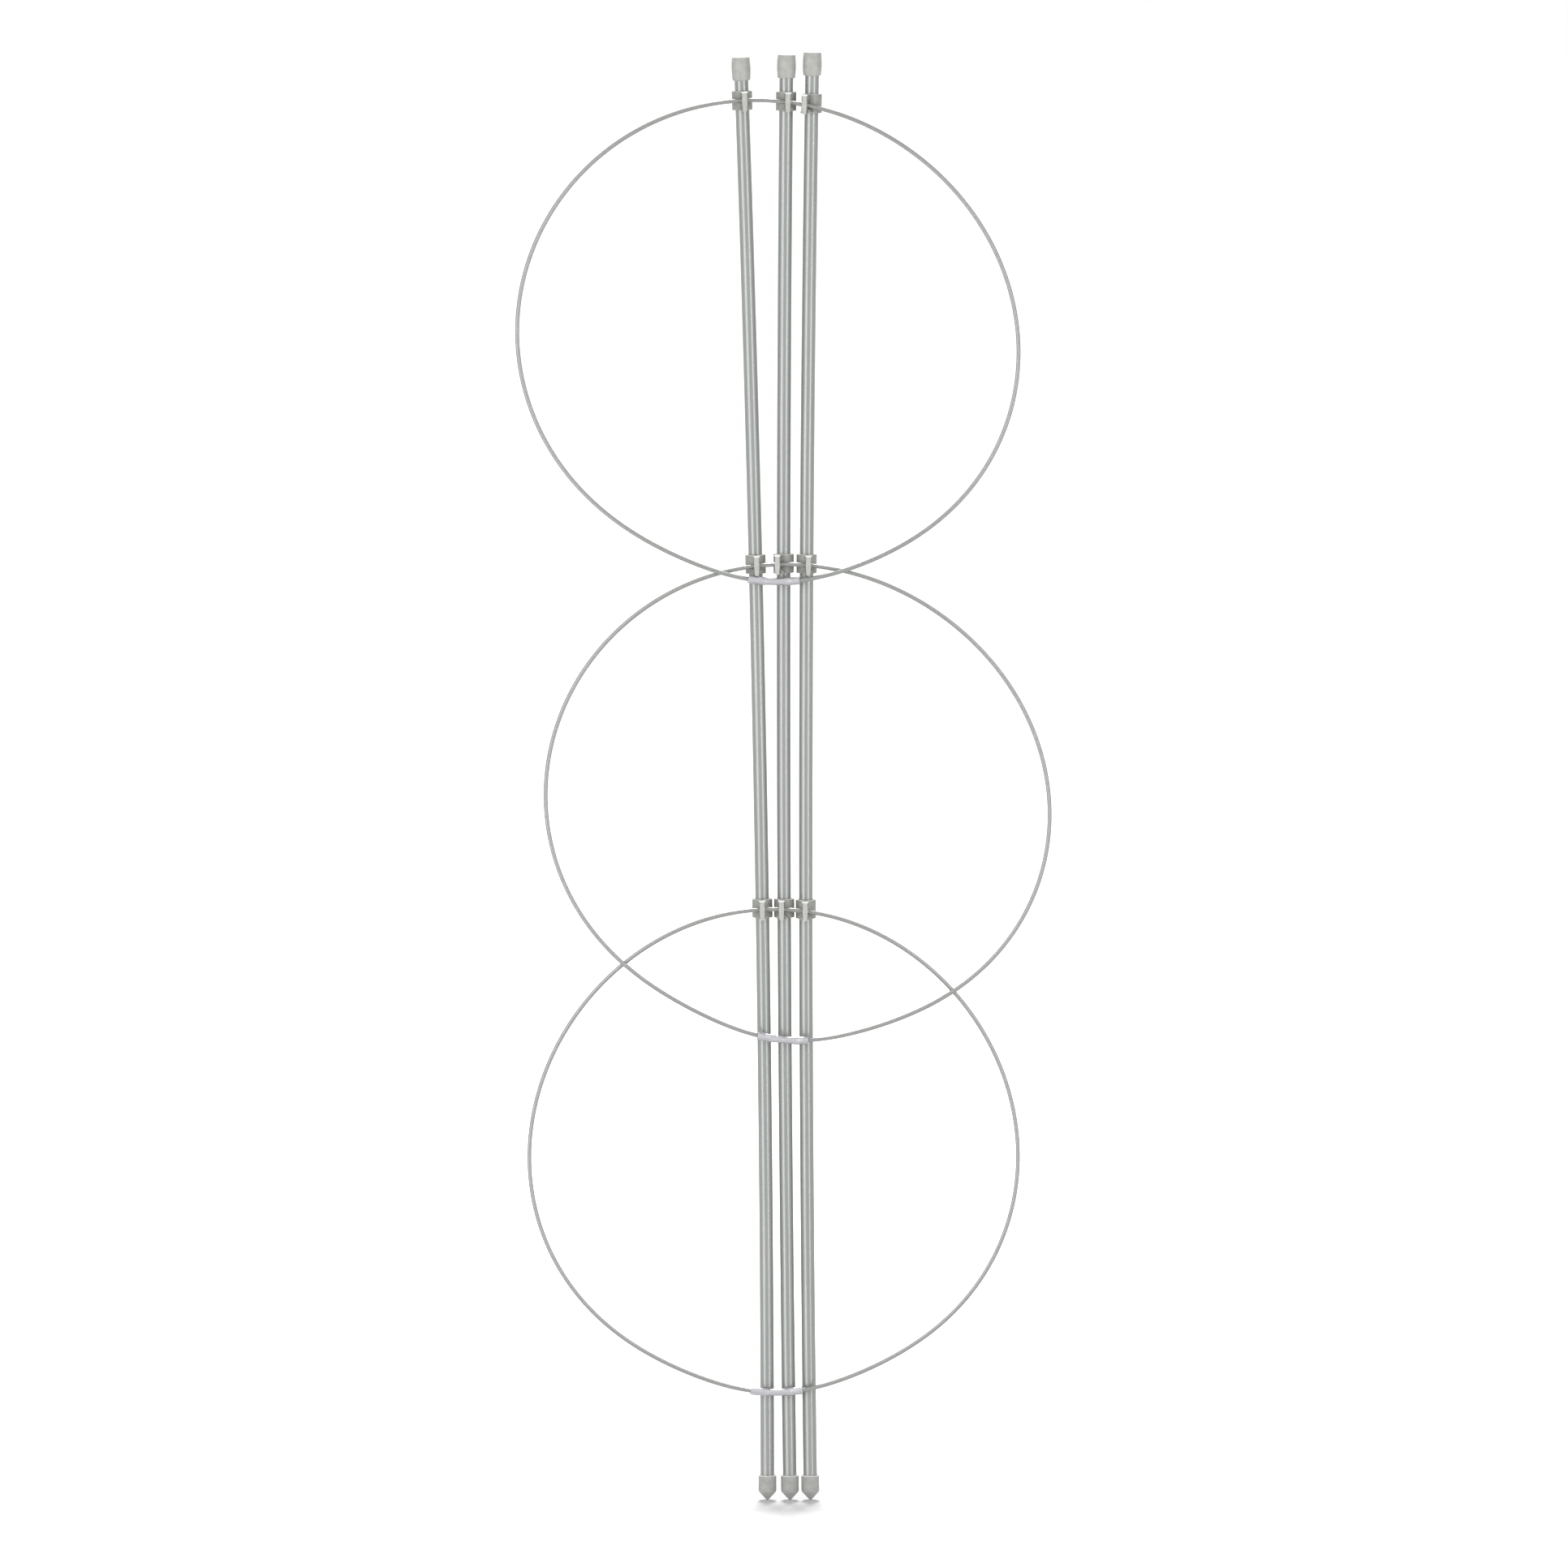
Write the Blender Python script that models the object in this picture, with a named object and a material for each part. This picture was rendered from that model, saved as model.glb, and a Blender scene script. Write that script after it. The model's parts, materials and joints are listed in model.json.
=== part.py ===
"""Folding plant support: three capped tube stakes carrying three sprung wire rings.

The support is modelled folded, as it is stored and sold. The three stakes lie side by side and
each wire ring hangs flat in front of them from three moulded clips, one on each stake. To open it,
the rings tip forward to level and the two outer stakes swing round to the far side of the rings.

The frame is in metres with +Z up. The origin is the point of the middle stake's tip, -Y is the
side the rings hang on, and +X is to the right when looking at that side.
"""

from math import acos, atan, atan2, cos, degrees, exp, pi, radians, sin, tan

import bmesh
import bpy
from mathutils import Matrix, Vector

MM = 0.001

# Stakes: coated steel tube, pushed into a moulded cap at the top and a moulded point at the foot.
TUBE_RADIUS = 4.3 * MM
TUBE_WALL = 0.95 * MM
TUBE_FOOT = 7.2 * MM
TUBE_HEAD = 895.2 * MM
TUBE_SIDES = 16
TUBE_SPANS = 10
SEAT_GAP = 0.3 * MM

# Each stake is sprung into a slight bow by the rings: its foot, head and mid-height bow along X.
SPRING_HEIGHT = 890.0 * MM
STAKE_LINES = {
    "left": (-14.1 * MM, -30.2 * MM, 3.7 * MM),
    "middle": (0.0, -2.3 * MM, -2.8 * MM),
    "right": (12.7 * MM, 13.5 * MM, -3.4 * MM),
}

# Top caps: barrel shaped, each pushed down to its own depth.
CAP_HEIGHT = 14.4 * MM
CAP_TOP_RADIUS = 5.35 * MM
CAP_BELLY_RADIUS = 5.8 * MM
CAP_MOUTH_RADIUS = 5.45 * MM
CAP_EDGE = 0.45 * MM
CAP_BORE_DEPTH = 12.6 * MM
CAP_ROWS = 6
CAP_SIDES = 20
CAP_LOW_EDGE = {"left": 883.2 * MM, "middle": 884.7 * MM, "right": 886.2 * MM}

# Points: a straight socket and a short cone with a blunt end.
TIP_RADIUS = 5.6 * MM
TIP_RIM = 15.9 * MM
TIP_RIM_ROUND = 0.4 * MM
TIP_SHOULDER = 5.5 * MM
TIP_SHOULDER_CUT = 0.6 * MM
TIP_BLUNT_RADIUS = 1.3 * MM
TIP_BLUNT_STEPS = 3
TIP_BORE_FLOOR = 6.7 * MM

# Clips: a collar round the stake with a T-shaped hook in front, and a window for the wire.
COLLAR_RADIUS = 6.3 * MM
COLLAR_TOP = 6.1 * MM
COLLAR_FOOT = -5.6 * MM
COLLAR_CHAMFER = 0.35 * MM
COLLAR_SIDES = 24
WEB_THICKNESS = 1.5 * MM
RIB_BACK = 10.6 * MM
RIB_FRONT = 12.4 * MM
RIB_FOOT = -6.3 * MM
RIB_EASE = 0.4 * MM
RIB_FOOT_WIDTH = 2.4 * MM
RIB_BELLY_WIDTH = 3.3 * MM
RIB_NECK_WIDTH = 2.6 * MM
RIB_CREST_WIDTH = 4.2 * MM
RIB_CREST_DROP = 1.3 * MM
WINDOW_HALF_HEIGHT = 2.4 * MM
WINDOW_CORNER = 0.7 * MM
SADDLE_WIDTH = 7.0 * MM
SADDLE_TOP_WIDTH = 3.0 * MM
SADDLE_TOP = -2.6 * MM
SADDLE_LIP = -4.8 * MM
SADDLE_FOOT = -5.6 * MM
SADDLE_FRONT = 9.6 * MM
HOOK_ROOT = 1.4 * MM
HOOK_OVERLAP = 0.3 * MM

# Rings: one length of sprung wire each, its ends butted inside a crimped sleeve.
WIRE_RADIUS = 1.3 * MM
WIRE_OFFSET = 7.8 * MM
WIRE_ROUNDNESS = 2
WIRE_SPANS = 84
WIRE_END_GAP = 1.0 * MM
SLEEVE_LENGTH = 32.0 * MM
SLEEVE_BORE = 1.6 * MM
SLEEVE_RADIUS = 2.5 * MM
SLEEVE_SIDES = 12
SLEEVE_SPANS = 16
SLEEVE_WAIST = 0.3 * MM
CRIMP_DEPTH = 0.35 * MM
CRIMP_PLACES = (0.24, 0.72)
CRIMP_SPREAD = 0.07
SLEEVE_STEP = 0.01

# Folded shape of each ring: its centre along X, the height of the wire at the middle stake, the
# mean radius, how far the ring is pulled oval and the direction of its long axis, a slight
# three-cornered pull, how far it bulges at its stiff sleeve, the sleeve's place and the ring's
# forward lean. Directions run clockwise from the top in degrees, as seen from the front.
RINGS = {
    "top": {
        "centre_x": -13.8 * MM,
        "pivot_height": 870.3 * MM,
        "radius": 149.86 * MM,
        "oval": 5.47 * MM,
        "oval_turn": 110.0,
        "corner": 0.82 * MM,
        "bulge": 4.77 * MM,
        "sleeve_turn": 178.6,
        "lean": 0.60,
    },
    "middle": {
        "centre_x": 4.5 * MM,
        "pivot_height": 585.4 * MM,
        "radius": 150.13 * MM,
        "oval": 6.41 * MM,
        "oval_turn": 106.3,
        "corner": 1.23 * MM,
        "bulge": 6.06 * MM,
        "sleeve_turn": 183.5,
        "lean": 0.68,
    },
    "bottom": {
        "centre_x": -10.2 * MM,
        "pivot_height": 371.1 * MM,
        "radius": 149.82 * MM,
        "oval": 1.58 * MM,
        "oval_turn": 87.0,
        "corner": 1.71 * MM,
        "bulge": 5.75 * MM,
        "sleeve_turn": 179.3,
        "lean": 0.0,
    },
}
BULGE_SPREAD = 20.0

# How far each clip is turned on its stake, in degrees: plus turns its hook towards +X.
CLIP_TURNS = {
    ("left", "top"): 7.9,
    ("middle", "top"): 5.3,
    ("right", "top"): -22.4,
    ("left", "middle"): 3.5,
    ("middle", "middle"): -19.0,
    ("right", "middle"): 5.3,
    ("left", "bottom"): 0.0,
    ("middle", "bottom"): -8.0,
    ("right", "bottom"): -2.0,
}

# Opening: each outer stake swings about an upright line that crosses the floor here and leans
# by these degrees along X and Y, so that it travels round the outside of the rising rings.
SWING_LINES = {
    "left": (-52.4 * MM, -129.2 * MM, -0.90, 0.42),
    "right": (59.7 * MM, -122.8 * MM, 0.46, 0.61),
}

# Finishes: colour, metallic and roughness.
COATED_STEEL = ("coated_steel", (0.36, 0.38, 0.35), 0.0, 0.35)
MOULDED_GREY = ("moulded_grey_plastic", (0.42, 0.43, 0.41), 0.0, 0.5)
SLEEVE_METAL = ("crimped_aluminium", (0.72, 0.71, 0.75), 1.0, 0.35)

# Edges sharper than this many degrees stay crisp when the faces are shaded smooth.
CRISP_EDGE = 35.0


def clear_scene():
    for obj in list(bpy.data.objects):
        bpy.data.objects.remove(obj, do_unlink=True)


def finish(name, colour, metallic, roughness):
    """The material of this name, made the first time it is asked for."""
    found = bpy.data.materials.get(name)
    if found:
        return found
    made = bpy.data.materials.new(name)
    made.use_nodes = True
    shader = made.node_tree.nodes["Principled BSDF"]
    shader.inputs["Base Color"].default_value = (*colour, 1.0)
    shader.inputs["Metallic"].default_value = metallic
    shader.inputs["Roughness"].default_value = roughness
    return made


def place(name, data, material, matrix=None, parent=None):
    """An object in the scene, at a world matrix, under its parent."""
    obj = bpy.data.objects.new(name, data)
    bpy.context.scene.collection.objects.link(obj)
    if material and not data.materials:
        data.materials.append(finish(*material))
    obj.matrix_world = matrix or Matrix.Identity(4)
    if parent:
        obj.parent = parent
        obj.matrix_parent_inverse = parent.matrix_world.inverted()
    return obj


def mesh_from(name, build):
    """A mesh filled by a function that takes a bmesh, with its faces turned out."""
    work = bmesh.new()
    build(work)
    bmesh.ops.recalc_face_normals(work, faces=work.faces)
    mesh = bpy.data.meshes.new(name)
    work.to_mesh(mesh)
    work.free()
    shade(mesh)
    return mesh


def shade(mesh):
    mesh.shade_smooth()
    mesh.set_sharp_from_angle(angle=radians(CRISP_EDGE))


def arc(centre, radius, start, end, steps):
    """Points of an arc, between two angles in degrees."""
    turns = [radians(start + (end - start) * step / steps) for step in range(steps + 1)]
    return [(centre[0] + radius * cos(turn), centre[1] + radius * sin(turn)) for turn in turns]


def stake_x(side, height):
    """Where a stake's centre line is along X at this height."""
    foot, head, bow = STAKE_LINES[side]
    share = height / SPRING_HEIGHT
    return foot + (head - foot) * share + 4 * bow * share * (1 - share)


def stake_slope(side, height):
    foot, head, bow = STAKE_LINES[side]
    share = height / SPRING_HEIGHT
    return (head - foot + 4 * bow * (1 - 2 * share)) / SPRING_HEIGHT


def stake_matrix(side, height):
    """The place on a stake at this height, with Z along the stake."""
    place_on_line = Matrix.Translation((stake_x(side, height), 0, height))
    return place_on_line @ Matrix.Rotation(atan(stake_slope(side, height)), 4, "Y")


def ring_shape(level, turn):
    """Right and up from a ring's centre to its wire, in the ring's own plane."""
    ring = RINGS[level]
    past_sleeve = (turn - radians(ring["sleeve_turn"]) + pi) % (2 * pi) - pi
    reach = ring["radius"]
    reach += ring["oval"] * cos(2 * (turn - radians(ring["oval_turn"])))
    reach += ring["corner"] * cos(3 * turn)
    reach += ring["bulge"] * exp(-((past_sleeve / radians(BULGE_SPREAD)) ** 2))
    return reach * sin(turn), reach * cos(turn)


def turn_above(level, x):
    """The turn at which the top of a ring passes over this X, found by halving."""
    low, high = -0.5, 0.5
    for _ in range(50):
        middle = (low + high) / 2
        if RINGS[level]["centre_x"] + ring_shape(level, middle)[0] < x:
            low = middle
        else:
            high = middle
    return low


def ring_pivot(level):
    """The middle of the wire where it goes through the middle stake's clip."""
    height = RINGS[level]["pivot_height"]
    return Vector((stake_x("middle", height), -WIRE_OFFSET, height))


def ring_point(level, turn):
    """A point of a hanging ring's wire, in the world."""
    pivot = ring_pivot(level)
    lean = radians(RINGS[level]["lean"])
    right, up = ring_shape(level, turn)
    pivot_right, pivot_up = ring_shape(level, turn_above(level, pivot.x))
    rise = up - pivot_up
    along = Vector((right - pivot_right, rise * sin(lean), rise * cos(lean)))
    return pivot + along


def wire_height(side, level):
    """How high the wire of a hanging ring is where it passes this stake."""
    height = RINGS[level]["pivot_height"]
    for _ in range(8):
        height = ring_point(level, turn_above(level, stake_x(side, height))).z
    return height


def clip_height(side, level):
    """The middle of a clip's window: midway between the wire's heights folded and open."""
    return (wire_height(side, level) + ring_pivot(level).z) / 2


def clip_matrix(side, level):
    turned = Matrix.Rotation(radians(CLIP_TURNS[side, level]), 4, "Z")
    return stake_matrix(side, clip_height(side, level)) @ turned


def turned_profile(profile, sides):
    """Builds the solid that a closed outline of (radius, height) points sweeps round Z."""

    def build(work):
        rows = []
        for radius, height in profile:
            if radius == 0:
                rows.append([work.verts.new((0, 0, height))])
                continue
            turns = [2 * pi * step / sides for step in range(sides)]
            rows.append([work.verts.new((radius * cos(t), radius * sin(t), height)) for t in turns])
        closed = all(radius > 0 for radius, _ in profile)
        pairs = list(zip(rows, rows[1:] + rows[:1])) if closed else list(zip(rows, rows[1:]))
        for upper, lower in pairs:
            for step in range(sides):
                after = (step + 1) % sides
                corners = [upper[step % len(upper)], upper[after % len(upper)]]
                corners += [lower[after % len(lower)], lower[step % len(lower)]]
                work.faces.new(list(dict.fromkeys(corners)))

    return build


def hollow_sweep(stations, sides):
    """Builds a tube along stations of (centre, across, forward, outer radius at a turn, bore)."""

    def build(work):
        outer, inner = [], []
        for centre, across, forward, outer_radius, bore in stations:
            turns = [2 * pi * step / sides for step in range(sides)]
            spokes = [(turn, across * cos(turn) + forward * sin(turn)) for turn in turns]
            reach = [centre + way * outer_radius(turn) for turn, way in spokes]
            outer.append([work.verts.new(point) for point in reach])
            inner.append([work.verts.new(centre + way * bore) for _, way in spokes])
        rows = outer + inner[::-1]
        for upper, lower in zip(rows, rows[1:] + rows[:1]):
            for step in range(sides):
                after = (step + 1) % sides
                work.faces.new((upper[step], upper[after], lower[after], lower[step]))

    return build


def add_stake(side, parent):
    """A bowed length of thin-walled coated tube."""
    stations = []
    for span in range(TUBE_SPANS + 1):
        height = TUBE_FOOT + (TUBE_HEAD - TUBE_FOOT) * span / TUBE_SPANS
        frame = stake_matrix(side, height)
        across, forward = frame.col[0].xyz, frame.col[1].xyz
        bore = TUBE_RADIUS - TUBE_WALL
        stations.append((frame.translation, across, forward, lambda turn: TUBE_RADIUS, bore))
    mesh = mesh_from(f"{side}_stake", hollow_sweep(stations, TUBE_SIDES))
    return place(f"{side}_stake", mesh, COATED_STEEL, parent=parent)


def cap_profile():
    """The barrel outline of a top cap and the blind bore that takes the tube."""
    crown = (CAP_TOP_RADIUS - CAP_EDGE, CAP_HEIGHT - CAP_EDGE)
    points = [(0, CAP_HEIGHT)] + arc(crown, CAP_EDGE, 90, 0, 2)
    swell = CAP_BELLY_RADIUS - (CAP_TOP_RADIUS + CAP_MOUTH_RADIUS) / 2
    for row in range(1, CAP_ROWS + 1):
        share = row / CAP_ROWS
        straight = CAP_TOP_RADIUS + (CAP_MOUTH_RADIUS - CAP_TOP_RADIUS) * share
        points.append((straight + 4 * swell * share * (1 - share), crown[1] * (1 - share)))
    bore = TUBE_RADIUS + SEAT_GAP
    return points + [(bore, 0), (bore, CAP_BORE_DEPTH), (0, CAP_BORE_DEPTH)]


def tip_profile():
    """A pointed foot: the bore for the tube, the rim, the straight side, the cone, a blunt end."""
    bore, cut = TUBE_RADIUS + SEAT_GAP, TIP_SHOULDER_CUT
    points = [(0, TIP_BORE_FLOOR), (bore, TIP_BORE_FLOOR), (bore, TIP_RIM)]
    points += arc((TIP_RADIUS - TIP_RIM_ROUND, TIP_RIM - TIP_RIM_ROUND), TIP_RIM_ROUND, 90, 0, 1)
    points += [(TIP_RADIUS, TIP_SHOULDER + cut), (TIP_RADIUS - cut / 2, TIP_SHOULDER - cut / 2)]
    # The cone runs from the shoulder to where it touches the ball of the blunt end.
    across, rise = points[-1][0], points[-1][1] - TIP_BLUNT_RADIUS
    touch = atan2(rise, across) - acos(TIP_BLUNT_RADIUS / (across**2 + rise**2) ** 0.5)
    points += arc((0, TIP_BLUNT_RADIUS), TIP_BLUNT_RADIUS, degrees(touch), -90, TIP_BLUNT_STEPS)
    return points[:-1] + [(0, 0)]


def outline_solid(outline, axis, low, high):
    """Builds a prism: a closed outline of pairs in the plane across an axis, from low to high."""

    def corner(pair, along):
        values = list(pair)
        values.insert("XYZ".index(axis), along)
        return values

    def build(work):
        face = work.faces.new([work.verts.new(corner(pair, low)) for pair in outline])
        grown = bmesh.ops.extrude_face_region(work, geom=[face])["geom"]
        shift = [0, 0, 0]
        shift["XYZ".index(axis)] = high - low
        moved = [item for item in grown if isinstance(item, bmesh.types.BMVert)]
        bmesh.ops.translate(work, verts=moved, vec=shift)

    return build


def collar_profile():
    """The closed section of a clip's collar, with its mouth edges eased."""
    bore, ease = TUBE_RADIUS + SEAT_GAP, COLLAR_CHAMFER
    return [
        (bore, COLLAR_FOOT),
        (bore, COLLAR_TOP - ease),
        (bore + ease, COLLAR_TOP),
        (COLLAR_RADIUS - ease, COLLAR_TOP),
        (COLLAR_RADIUS, COLLAR_TOP - ease),
        (COLLAR_RADIUS, COLLAR_FOOT),
    ]


def mirrored(right):
    """An outline closed by the mirror image of its right-hand points."""
    return right + [(-x, along) for x, along in reversed(right)]


def hook_rib_outline():
    """The front view of the hook's rib, in X and Z: a wide crest on a bar, fullest at the wire."""
    right = [(RIB_FOOT_WIDTH / 2 - RIB_EASE, RIB_FOOT), (RIB_FOOT_WIDTH / 2, RIB_FOOT + RIB_EASE)]
    right += [(RIB_BELLY_WIDTH / 2, 0), (RIB_NECK_WIDTH / 2, COLLAR_TOP - RIB_CREST_DROP)]
    right += [(RIB_CREST_WIDTH / 2, COLLAR_TOP - RIB_EASE), (RIB_CREST_WIDTH / 2, COLLAR_TOP)]
    return mirrored(right)


def hook_web_outline():
    """The side view of the hook's web, in Y and Z, sloping up from the rib to the collar."""
    root, face = -(COLLAR_RADIUS - HOOK_ROOT), -(RIB_BACK + HOOK_OVERLAP)
    return [(root, COLLAR_TOP), (face, COLLAR_TOP), (face, RIB_FOOT), (root, COLLAR_FOOT)]


def saddle_outline():
    """The front view of the pad under the wire, in X and Z, sloping down to each side."""
    wide, narrow = SADDLE_WIDTH / 2, SADDLE_TOP_WIDTH / 2
    return mirrored([(wide, SADDLE_FOOT), (wide, SADDLE_LIP), (narrow, SADDLE_TOP)])


def window_outline():
    """The window that the wire goes through, in Y and Z, with rounded corners."""
    corner = WINDOW_CORNER
    front, back = -RIB_BACK + corner, -COLLAR_RADIUS - corner
    half = WINDOW_HALF_HEIGHT - corner
    points = arc((front, -half), corner, 180, 270, 2) + arc((back, -half), corner, 270, 360, 2)
    return points + arc((back, half), corner, 0, 90, 2) + arc((front, half), corner, 90, 180, 2)


def make_clip_mesh():
    """One clip, hook towards -Y, its window's middle at the origin; all nine share this mesh."""
    sleeve = mesh_from("clip_collar", turned_profile(collar_profile(), COLLAR_SIDES))
    collar = place("clip_collar", sleeve, MOULDED_GREY)
    web, root = WEB_THICKNESS / 2, -(COLLAR_RADIUS - HOOK_ROOT)
    through = outline_solid(window_outline(), "X", -COLLAR_RADIUS, COLLAR_RADIUS)
    shapes = {
        "clip_web": ("UNION", outline_solid(hook_web_outline(), "X", -web, web)),
        "clip_rib": ("UNION", outline_solid(hook_rib_outline(), "Y", -RIB_FRONT, -RIB_BACK)),
        "clip_saddle": ("UNION", outline_solid(saddle_outline(), "Y", -SADDLE_FRONT, root)),
        "clip_window": ("DIFFERENCE", through),
    }
    helpers = [collar]
    for name, (operation, build) in shapes.items():
        helper = place(name, mesh_from(name, build), MOULDED_GREY)
        helper.hide_render = True
        helper.display_type = "WIRE"
        helpers.append(helper)
        cut = collar.modifiers.new(name, "BOOLEAN")
        cut.operation = operation
        cut.object = helper
        cut.solver = "EXACT"
    bpy.context.view_layer.update()
    graph = bpy.context.evaluated_depsgraph_get()
    mesh = bpy.data.meshes.new_from_object(collar.evaluated_get(graph))
    for helper in helpers:
        bpy.data.objects.remove(helper, do_unlink=True)
    mesh.name = "stake_clip"
    shade(mesh)
    return mesh


def add_ring(level):
    """The sprung wire of one ring, from one butted end round to the other."""
    pivot = ring_pivot(level)
    start = radians(RINGS[level]["sleeve_turn"]) + WIRE_END_GAP / 2 / RINGS[level]["radius"]
    sweep = 2 * pi - WIRE_END_GAP / RINGS[level]["radius"]
    wire = bpy.data.curves.new(f"{level}_ring", "CURVE")
    wire.dimensions = "3D"
    spline = wire.splines.new("POLY")
    spline.points.add(WIRE_SPANS)
    for step, point in enumerate(spline.points):
        place_on_wire = ring_point(level, start + sweep * step / WIRE_SPANS) - pivot
        point.co = (*place_on_wire, 1)
    wire.bevel_depth = WIRE_RADIUS
    wire.bevel_resolution = WIRE_ROUNDNESS
    wire.use_fill_caps = True
    return place(f"{level}_ring", wire, COATED_STEEL, Matrix.Translation(pivot))


def crimped_radius(share):
    """The sleeve's outer radius round its section, at this share of its length."""
    pinch = sum(exp(-(((share - spot) / CRIMP_SPREAD) ** 2)) for spot in CRIMP_PLACES)
    waist = SLEEVE_WAIST * sin(pi * share) ** 2
    return lambda turn: SLEEVE_RADIUS - waist - CRIMP_DEPTH * pinch * sin(turn) ** 2


def add_sleeve(level, ring):
    """The crimped sleeve over the butted ends of a ring's wire, bent with the ring."""
    middle = radians(RINGS[level]["sleeve_turn"])
    reach = SLEEVE_LENGTH / RINGS[level]["radius"]
    pivot = ring_pivot(level)
    stations = []
    for span in range(SLEEVE_SPANS + 1):
        share = span / SLEEVE_SPANS
        turn = middle + reach * (share - 0.5)
        centre = ring_point(level, turn)
        ahead, behind = turn + SLEEVE_STEP, turn - SLEEVE_STEP
        tangent = (ring_point(level, ahead) - ring_point(level, behind)).normalized()
        forward = Vector((0, 1, 0))
        forward = (forward - tangent * forward.dot(tangent)).normalized()
        across = forward.cross(tangent)
        stations.append((centre - pivot, across, forward, crimped_radius(share), SLEEVE_BORE))
    mesh = mesh_from(f"{level}_sleeve", hollow_sweep(stations, SLEEVE_SIDES))
    return place(f"{level}_sleeve", mesh, SLEEVE_METAL, Matrix.Translation(pivot), ring)


def add_swing_line(side):
    """An empty on the upright line that an outer stake swings about, its Z along the line."""
    x, y, lean_x, lean_y = SWING_LINES[side]
    along = Vector((tan(radians(lean_x)), tan(radians(lean_y)), 1)).normalized()
    turned = Vector((0, 0, 1)).rotation_difference(along).to_matrix().to_4x4()
    return place(f"{side}_swing_line", None, None, Matrix.Translation((x, y, 0)) @ turned)


def build():
    clear_scene()
    clip_mesh = make_clip_mesh()
    for side in STAKE_LINES:
        swing = add_swing_line(side) if side in SWING_LINES else None
        stake = add_stake(side, swing)
        cap = mesh_from(f"{side}_cap", turned_profile(cap_profile(), CAP_SIDES))
        place(f"{side}_cap", cap, MOULDED_GREY, stake_matrix(side, CAP_LOW_EDGE[side]), stake)
        tip = mesh_from(f"{side}_tip", turned_profile(tip_profile(), CAP_SIDES))
        place(f"{side}_tip", tip, MOULDED_GREY, stake_matrix(side, 0), stake)
        for level in RINGS:
            place(f"{side}_{level}_clip", clip_mesh, MOULDED_GREY, clip_matrix(side, level), stake)
    for level in RINGS:
        ring = add_ring(level)
        add_sleeve(level, ring)
    bpy.context.view_layer.update()


build()
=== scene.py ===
"""Finished look of the folding plant support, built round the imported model.

Every rigid solid gets a finer piece in its place: coated tubes, moulded caps, tips and clips,
sprung wire rings and their crimped sleeves. The file is laid out as an add-on and run as a script.
"""

import json
from math import acos, atan, atan2, cos, degrees, exp, hypot, pi, radians, sin

import bmesh
import bpy
from mathutils import Matrix, Vector

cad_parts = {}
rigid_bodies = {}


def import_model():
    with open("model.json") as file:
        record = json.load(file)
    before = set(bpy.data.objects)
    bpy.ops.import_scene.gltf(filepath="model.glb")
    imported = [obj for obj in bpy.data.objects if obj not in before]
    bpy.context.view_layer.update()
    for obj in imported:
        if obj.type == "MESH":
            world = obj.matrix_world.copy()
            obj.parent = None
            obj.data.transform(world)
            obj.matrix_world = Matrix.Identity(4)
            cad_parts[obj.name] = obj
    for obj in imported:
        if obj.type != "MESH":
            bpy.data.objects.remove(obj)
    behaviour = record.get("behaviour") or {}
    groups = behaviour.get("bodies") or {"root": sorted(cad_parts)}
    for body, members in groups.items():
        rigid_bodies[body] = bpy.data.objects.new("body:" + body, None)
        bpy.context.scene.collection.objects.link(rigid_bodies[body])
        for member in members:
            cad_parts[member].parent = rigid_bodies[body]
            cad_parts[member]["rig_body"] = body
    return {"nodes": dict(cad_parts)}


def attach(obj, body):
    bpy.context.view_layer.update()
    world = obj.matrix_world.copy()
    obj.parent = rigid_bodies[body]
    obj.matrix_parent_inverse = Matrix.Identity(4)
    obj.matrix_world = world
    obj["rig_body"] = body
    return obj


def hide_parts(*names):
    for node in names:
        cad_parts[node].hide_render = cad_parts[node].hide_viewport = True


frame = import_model()

bl_info = {
    "name": "Folding plant support",
    "version": (1, 0, 0),
    "blender": (4, 5, 0),
    "location": "View3D > Sidebar > Plant support",
    "description": "Dresses a folding three-ring plant support and lights it in a white studio",
    "category": "Object",
}

MM = 0.001

# Stakes: the foot, head and mid-height bow of each along X, and the height that the heads are at.
SPRING_HEIGHT = 890.0 * MM
STAKE_LINES = {
    "left": (-14.1 * MM, -30.2 * MM, 3.7 * MM),
    "middle": (0.0, -2.3 * MM, -2.8 * MM),
    "right": (12.7 * MM, 13.5 * MM, -3.4 * MM),
}
TUBE_WALL = 0.95 * MM
TUBE_FOOT = 7.2 * MM
TUBE_HEAD = 895.2 * MM
TUBE_SPANS = 96
TUBE_SIDES = 64
SEAT_GAP = 0.3 * MM

# Caps and tips. The round at a cap's mouth is a share of the one at its crown.
CAP_HEIGHT = 14.4 * MM
CAP_TOP_RADIUS = 5.35 * MM
CAP_BELLY_RADIUS = 5.8 * MM
CAP_MOUTH_RADIUS = 5.45 * MM
CAP_BORE_DEPTH = 12.6 * MM
CAP_MOUTH_EASE = 0.1 * MM
CAP_MOUTH_ROUND = 0.5
CAP_ROWS = 18
CAP_CROWN_STEPS = 5
CAP_MOUTH_STEPS = 3
CAP_LOW_EDGE = {"left": 883.2 * MM, "middle": 884.7 * MM, "right": 886.2 * MM}
TIP_RADIUS = 5.6 * MM
TIP_RIM = 15.9 * MM
TIP_SHOULDER = 5.5 * MM
TIP_BLUNT_RADIUS = 1.3 * MM
TIP_BORE_FLOOR = 6.7 * MM
TIP_RIM_STEPS = 8
TIP_SHOULDER_STEPS = 10
TIP_BLUNT_STEPS = 8
TURNED_SIDES = 72

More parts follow.
